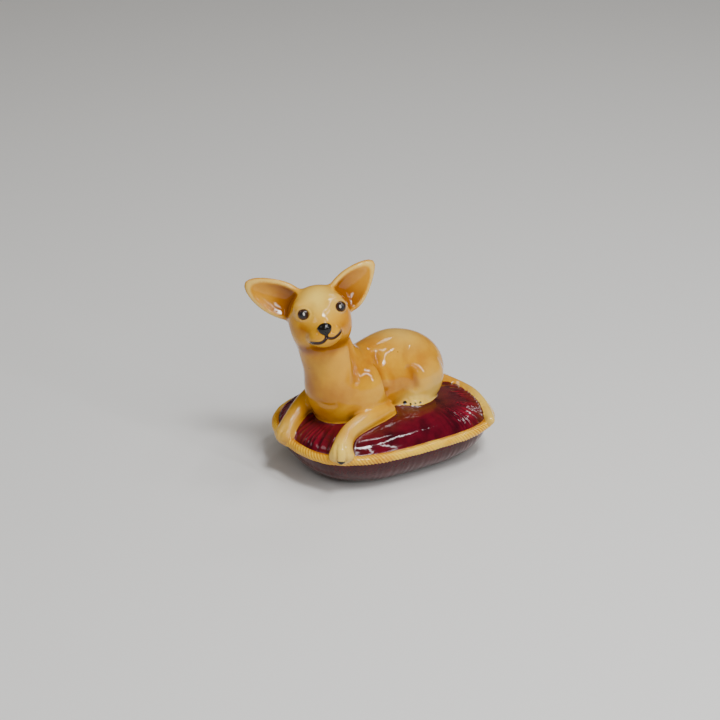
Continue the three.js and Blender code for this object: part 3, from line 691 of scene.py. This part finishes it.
def paint_ears(mesh, smooth):
    """Strengths of the lining in each ear's hollow, of its brown root and of its pale rim."""
    hollow, root, rim = (np.zeros(len(smooth)) for _ in range(3))
    for side in EARS:
        outer = measured(lambda p: ear_forms(in_head(p), side)[0], smooth)
        inner = measured(lambda p: ear_forms(in_head(p), side)[1], smooth)
        up_ear, _, ahead = measured_rows(lambda p: in_ear(in_head(p), side), smooth).T
        inside = ramp(-inner, -0.45, 0.05)
        edge = ramp(-outer, -0.5, -0.1) * ramp(inner, 0.1, 0.5) * (1 - ramp(inner, 0.9, 1.6))
        hollow = np.maximum(hollow, inside)
        root = np.maximum(root, inside * (1 - ramp(up_ear, 2.0, 9.0)))
        rim = np.maximum(rim, edge * ramp(up_ear, 0.5, 3.0) * ramp(ahead, -0.6, 0.3))
    add_paint(mesh, "hollow", hollow)
    add_paint(mesh, "ear_root", root)
    add_paint(mesh, "ear_rim", rim)


def paint_cushion(mesh, smooth, from_dog):
    """Gathers and strands, how close the dog lies, and what is below the seam, where shade is
    painted.
    """
    along, out, total = along_rim(smooth)
    add_paint(mesh, "gather", gather_height(along, out, smooth[:, 2]))
    add_paint(mesh, "strand", strand_phase(smooth, along, out, total))
    behind_paws = 0.3 + 0.7 * ramp(smooth[:, 1], -20, -8)
    add_paint(mesh, "near_dog", behind_paws * gauss(np.maximum(from_dog, 0), 4.2))
    # Painted shade below the seam.
    add_paint(mesh, "under", ramp(SEAM_HEIGHT - smooth[:, 2], 0, 3.5))


class Glaze:
    """Builds one material's nodes from left to right."""

    def __init__(self, name):
        self.material = bpy.data.materials.new(name)
        self.material.use_nodes = True
        self.nodes = self.material.node_tree.nodes
        self.links = self.material.node_tree.links
        self.shader = self.nodes["Principled BSDF"]

    def feed(self, socket, value):
        """Links a node's output to a socket, or sets the socket's own value."""
        if isinstance(value, bpy.types.NodeSocket):
            self.links.new(value, socket)
        else:
            socket.default_value = value

    def paint(self, name):
        """What add_paint kept under a name."""
        node = self.nodes.new("ShaderNodeAttribute")
        node.attribute_name = name
        return node.outputs["Fac"]

    def maths(self, operation, *values):
        node = self.nodes.new("ShaderNodeMath")
        node.operation = operation
        for socket, value in zip(node.inputs, values):
            self.feed(socket, value)
        return node.outputs[0]

    def times(self, a, b):
        return self.maths("MULTIPLY", a, b)

    def ramp(self, value, low, high):
        """0 below low, 1 above high, or the other way round when low is the greater."""
        node = self.nodes.new("ShaderNodeMapRange")
        node.interpolation_type = "SMOOTHSTEP"
        self.feed(node.inputs["Value"], value)
        node.inputs["From Min"].default_value = min(low, high)
        node.inputs["From Max"].default_value = max(low, high)
        node.inputs["To Min"].default_value = 0 if low < high else 1
        node.inputs["To Max"].default_value = 1 if low < high else 0
        return node.outputs["Result"]

    def mix(self, share, under, over):
        """One colour over another, each a red, green and blue or a node's output."""
        node = self.nodes.new("ShaderNodeMix")
        node.data_type = "RGBA"
        self.feed(node.inputs["Factor"], share)
        for name, colour in (("A", under), ("B", over)):
            socket = next(i for i in node.inputs if i.name == name and i.type == "RGBA")
            self.feed(socket, (*colour, 1) if isinstance(colour, tuple) else colour)
        return next(o for o in node.outputs if o.type == "RGBA")

    def tint(self, share, strength, under, over):
        """A mix whose share is first taken down to a strength."""
        return self.mix(self.times(share, strength), under, over)

    def noise(self, per_metre, detail=3.0, stretch=None):
        place = self.nodes.new("ShaderNodeTexCoord").outputs["Object"]
        if stretch:
            mapping = self.nodes.new("ShaderNodeMapping")
            self.links.new(place, mapping.inputs["Vector"])
            mapping.inputs["Scale"].default_value = stretch
            place = mapping.outputs["Vector"]
        node = self.nodes.new("ShaderNodeTexNoise")
        self.links.new(place, node.inputs["Vector"])
        node.inputs["Scale"].default_value = per_metre
        node.inputs["Detail"].default_value = detail
        return node.outputs["Fac"]


# Colours of the coat.
FAWN, DEEP_FAWN, LIGHT_FAWN = (0.68, 0.31, 0.003), (0.52, 0.185, 0.001), (0.8, 0.42, 0.012)
# Pale cream, also painted light on the forehead, and the crests' cream, of thin glaze and painted
# light.
PALE_CREAM, CREST_CREAM_AND_LIGHT = (0.96, 0.68, 0.12), (0.86, 0.58, 0.12)
# The airbrush's brown, also painted shade in furrows and grooves, and the painted shade under the
# jaw.
SPRAYED_AND_SHADE_BROWN, JAW_SHADE_BROWN = (0.33, 0.088, 0.0005), (0.18, 0.045, 0.001)
# The brown of pooled glaze, also painted shade in hollows, and a grey.
POOL_AND_SHADE_BROWN, ASH_GREY = (0.28, 0.085, 0.001), (0.44, 0.32, 0.13)
EAR_RIM, EAR_ROOT = (0.88, 0.62, 0.16), (0.2, 0.04, 0.001)
EAR_LINING, LIGHT_LINING = (0.46, 0.155, 0.002), (0.64, 0.28, 0.012)
# Colours of the face and claws.
LID_CREAM, EYE_EDGE, EYE_BLACK = (0.85, 0.6, 0.25), (0.05, 0.018, 0.006), (0.012, 0.012, 0.016)
# White of the painted glint in each eye, and the mouth's brown.
EYE_GLINT_WHITE, MOUTH_BROWN = (0.7, 0.68, 0.62), (0.035, 0.012, 0.004)
NOSE_BLACK, CLAW_BLACK = (0.008, 0.007, 0.006), (0.012, 0.009, 0.007)
# Colours of the cushion and the cord.
DARK_MAROON, MAROON, CREST_RED = (0.03, 0.001, 0.005), (0.12, 0.002, 0.012), (0.29, 0.005, 0.026)
# Brown beside the dog, and maroon darkened below the seam as painted shade.
BESIDE_BROWN, SHADED_UNDER_MAROON = (0.075, 0.026, 0.006), (0.035, 0.001, 0.0015)
CORD_GOLD, CORD_CREAM, CORD_STAIN = (0.74, 0.34, 0.004), (0.92, 0.55, 0.02), (0.5, 0.13, 0.001)
CORD_SEAM, CORD_BETWEEN = (0.5, 0.15, 0.002), (0.55, 0.2, 0.004)
KILN_BROWN = (0.12, 0.04, 0.008)


def coat_colour(g):
    """Fawn glaze, orange-brown where airbrushed and as painted shade in creases and under the
    jaw, browner where it pools and as painted shade in hollows, paler on crests where thin and as
    painted light, cream where left pale and as painted light on the forehead.
    """
    cloud, fine = g.noise(90), g.noise(420, 4.0)
    coat = g.mix(g.ramp(cloud, 0.35, 0.7), FAWN, DEEP_FAWN)
    coat = g.tint(g.ramp(fine, 0.4, 0.8), 0.3, coat, LIGHT_FAWN)
    # Left pale, and on the forehead painted light on the head's top.
    coat = g.tint(g.paint("cream"), 0.85, coat, PALE_CREAM)
    # Airbrushed orange-brown, which also carries painted shade in furrows, toe grooves and under
    # the jaw.
    sprayed_and_shaded = g.times(g.paint("airbrush_and_shade"), g.ramp(cloud, 0.2, 0.65))
    coat = g.tint(sprayed_and_shaded, 0.9, coat, SPRAYED_AND_SHADE_BROWN)
    # Painted shade under the jaw.
    coat = g.tint(g.paint("shade_under_jaw"), 0.7, coat, JAW_SHADE_BROWN)
    # Browner where the glaze pools in hollows, also painted shade; paler on crests, thin glaze
    # and painted light.
    coat = g.tint(g.ramp(g.paint("pool_and_shade"), 0.35, 0.95), 0.5, coat, POOL_AND_SHADE_BROWN)
    coat = g.tint(g.ramp(g.paint("pool_and_shade"), 0.12, -0.25), 0.35, coat, CREST_CREAM_AND_LIGHT)
    coat = g.tint(g.times(g.paint("ash"), g.ramp(cloud, 0.25, 0.6)), 0.55, coat, ASH_GREY)
    coat = g.tint(g.paint("ear_rim"), 0.7, coat, EAR_RIM)
    lining = g.mix(g.ramp(cloud, 0.3, 0.7), EAR_LINING, LIGHT_LINING)
    lining = g.tint(g.paint("ear_root"), 0.9, lining, EAR_ROOT)
    return g.tint(g.paint("hollow"), 0.9, coat, lining)


def kiln_specks(g, colour):
    """A few tiny brown specks, as iron in the clay leaves under a glaze."""
    place = g.nodes.new("ShaderNodeTexCoord").outputs["Object"]
    cells = g.nodes.new("ShaderNodeTexVoronoi")
    g.feed(cells.inputs["Vector"], place)
    cells.inputs["Scale"].default_value = 140
    split = g.nodes.new("ShaderNodeSeparateColor")
    g.feed(split.inputs["Color"], cells.outputs["Color"])
    chosen = g.ramp(split.outputs["Red"], 0.72, 0.76)
    speck = g.times(g.ramp(cells.outputs["Distance"], 0.05, 0.02), chosen)
    return g.tint(speck, 0.6, colour, KILN_BROWN)


def face_colour(g, coat):
    """Eyes with their painted glints, the mouth line and the nose, laid over the coat."""
    eye = g.maths("ADD", g.paint("from_eye"), g.times(g.noise(900, 2.0), 0.12))
    coat = g.tint(g.ramp(eye, 2.7, 1.8), 0.18, coat, LID_CREAM)
    coat = g.mix(g.ramp(eye, 1.88, 1.62), coat, EYE_EDGE)
    coat = g.mix(g.ramp(eye, 1.4, 0.8), coat, EYE_BLACK)
    # The painted glint in each eye.
    coat = g.mix(g.ramp(g.paint("painted_eye_glint"), 1.15, 0.75), coat, EYE_GLINT_WHITE)
    coat = g.mix(g.ramp(g.paint("from_mouth"), 0.56, 0.3), coat, MOUTH_BROWN)
    return g.mix(g.ramp(g.paint("nose_edge"), 0.12, -0.02), coat, NOSE_BLACK)


def cushion_colour(g):
    """Deep maroon glaze, redder where thin on the gathers and as painted light on their crests,
    brown beside the dog, painted shade below the seam.
    """
    streak, cloud = g.noise(260, 4.0, (1, 1, 0.5)), g.noise(110)
    maroon = g.mix(g.ramp(cloud, 0.3, 0.7), DARK_MAROON, MAROON)
    # Redder on the gathers' crests, where the glaze runs thin, and as painted light.
    crest = g.times(g.ramp(g.paint("gather"), -0.08, 0.16), g.ramp(streak, 0.3, 0.65))
    maroon = g.tint(crest, 0.9, maroon, CREST_RED)
    beside = g.times(g.paint("near_dog"), g.ramp(streak, 0.2, 0.75))
    maroon = g.tint(beside, 0.85, maroon, BESIDE_BROWN)
    # Darker below the seam, as painted shade.
    return g.tint(g.paint("under"), 0.8, maroon, SHADED_UNDER_MAROON)


def cord_colour(g):
    """Cream-yellow cord, orange where it meets the cushion and in patches between strands."""
    twist = g.maths("SINE", g.paint("strand"))
    gold = g.mix(g.ramp(g.noise(130), 0.3, 0.6), CORD_GOLD, CORD_CREAM)
    stain = g.times(g.paint("airbrush_and_shade"), g.ramp(twist, 0.9, -0.4))
    gold = g.tint(stain, 0.9, gold, CORD_STAIN)
    seam = g.times(g.ramp(g.paint("cord_side"), 1.5, 0.4), g.ramp(g.noise(240), 0.3, 0.55))
    gold = g.tint(seam, 0.85, gold, CORD_SEAM)
    between = g.times(g.ramp(twist, -0.1, -0.95), g.ramp(g.noise(190), 0.35, 0.6))
    return g.tint(between, 0.55, gold, CORD_BETWEEN)


def make_glaze():
    """Clear glossy glaze over the painted coat, cushion and cord."""
    g = Glaze("porcelain_glaze")
    coat = face_colour(g, kiln_specks(g, coat_colour(g)))
    lower = g.mix(g.ramp(g.paint("cord_side"), -0.15, 0.1), cushion_colour(g), cord_colour(g))
    # The brush didn't follow the coat's edge exactly.
    wander = g.times(g.maths("SUBTRACT", g.noise(500, 2.0), 0.5), 0.4)
    side = g.maths("ADD", g.paint("coat_side"), wander)
    colour = g.mix(g.ramp(side, -0.04, 0.14), lower, coat)
    colour = g.mix(g.ramp(g.paint("from_claw"), 0.12, -0.12), colour, CLAW_BLACK)
    g.feed(g.shader.inputs["Base Color"], colour)
    roughness = g.nodes.new("ShaderNodeMapRange")
    g.feed(roughness.inputs["Value"], g.noise(300))
    roughness.inputs["To Min"].default_value = 0.03
    roughness.inputs["To Max"].default_value = 0.09
    g.feed(g.shader.inputs["Roughness"], roughness.outputs["Result"])
    g.shader.inputs["IOR"].default_value = 1.42
    g.shader.inputs["Coat Weight"].default_value = 0.05
    g.shader.inputs["Coat Roughness"].default_value = 0.03
    bump = g.nodes.new("ShaderNodeBump")
    bump.inputs["Strength"].default_value = 0.16
    bump.inputs["Distance"].default_value = 0.0005
    g.feed(bump.inputs["Height"], g.noise(300))
    g.feed(g.shader.inputs["Normal"], bump.outputs["Normal"])
    return g.material


def make_floor():
    """A plain pale floor, wide enough to fill the view from every side."""
    bpy.ops.object.select_all(action="DESELECT")
    bpy.ops.mesh.primitive_plane_add(size=3, location=(0, 0, 0))
    floor = bpy.context.object
    floor.name = "studio_floor"
    material = bpy.data.materials.new("pale_floor")
    material.use_nodes = True
    shader = material.node_tree.nodes["Principled BSDF"]
    shader.inputs["Base Color"].default_value = (0.78, 0.78, 0.77, 1)
    shader.inputs["Roughness"].default_value = 0.9
    floor.data.materials.append(material)
    return floor


# The photograph's view: what it looks at in metres, from which side and how high in degrees,
# and from how far off in metres.
AIM = (-0.01012, -0.00185, 0.02896)
VIEW_SIDE, VIEW_HEIGHT, VIEW_DISTANCE = 60, 26, 0.635
PIXELS_PER_MM, FRAME_PIXELS, SENSOR = 3.12, 720, 36.0

# Lights aimed at the same place: side and height in degrees, distance, width and height of the
# panel in metres, and power in watts.
LIGHTS = {
    "soft_top": (88, 60, 0.9, 0.16, 0.16, 4.5),
    "tall_window": (108, 36, 0.6, 0.02, 0.42, 0.85),
    "second_window": (88, 36, 0.6, 0.014, 0.42, 0.6),
    "rear_strip": (135, 64, 0.8, 0.35, 0.03, 1.3),
    "overhead_strip": (175, 77, 0.8, 0.03, 0.22, 0.4),
    "left_fill": (0, 45, 0.9, 0.3, 0.3, 0.7),
    "front_lamp": (70, 30, 0.6, 0.05, 0.16, 0.35),
    "far_fill": (-130, 55, 0.9, 0.15, 0.15, 0.5),
}


def stand(holder, side, height, distance):
    """Puts a camera or light round the figurine, facing it: side 0 is before the chest."""
    side, height = math.radians(side), math.radians(height)
    flat = math.cos(height) * distance
    away = Vector((math.sin(side) * flat, -math.cos(side) * flat, math.sin(height) * distance))
    bpy.context.scene.collection.objects.link(holder)
    holder.location = Vector(AIM) + away
    holder.rotation_euler = (Vector(AIM) - holder.location).to_track_quat("-Z", "Y").to_euler()


def make_camera():
    """A camera at the photograph's angle, with a lens that gives its scale."""
    camera = bpy.data.objects.new("photo_camera", bpy.data.cameras.new("photo_camera"))
    stand(camera, VIEW_SIDE, VIEW_HEIGHT, VIEW_DISTANCE)
    camera.data.sensor_width = SENSOR
    camera.data.lens = PIXELS_PER_MM * SENSOR * VIEW_DISTANCE / MM / FRAME_PIXELS
    camera.data.clip_start = 0.01
    bpy.context.scene.camera = camera


def make_lights():
    """Soft panels and narrow strips, for the long curved highlights on the glaze."""
    for name, (side, height, distance, width, tall, power) in LIGHTS.items():
        lamp = bpy.data.lights.new(name, "AREA")
        lamp.shape = "RECTANGLE"
        lamp.size, lamp.size_y = width, tall
        lamp.energy = power
        stand(bpy.data.objects.new(name, lamp), side, height, distance)


def make_world():
    """Faint warm light from all round."""
    world = bpy.data.worlds.new("studio")
    bpy.context.scene.world = world
    world.use_nodes = True
    background = world.node_tree.nodes["Background"]
    background.inputs["Color"].default_value = (1.0, 0.9, 0.76, 1)
    background.inputs["Strength"].default_value = 0.13


figurine_piece = make_figurine()
figurine_piece.data.materials.append(make_glaze())
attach(figurine_piece, "root")
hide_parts("chihuahua_on_cushion")
make_floor()
make_world()
make_lights()
make_camera()
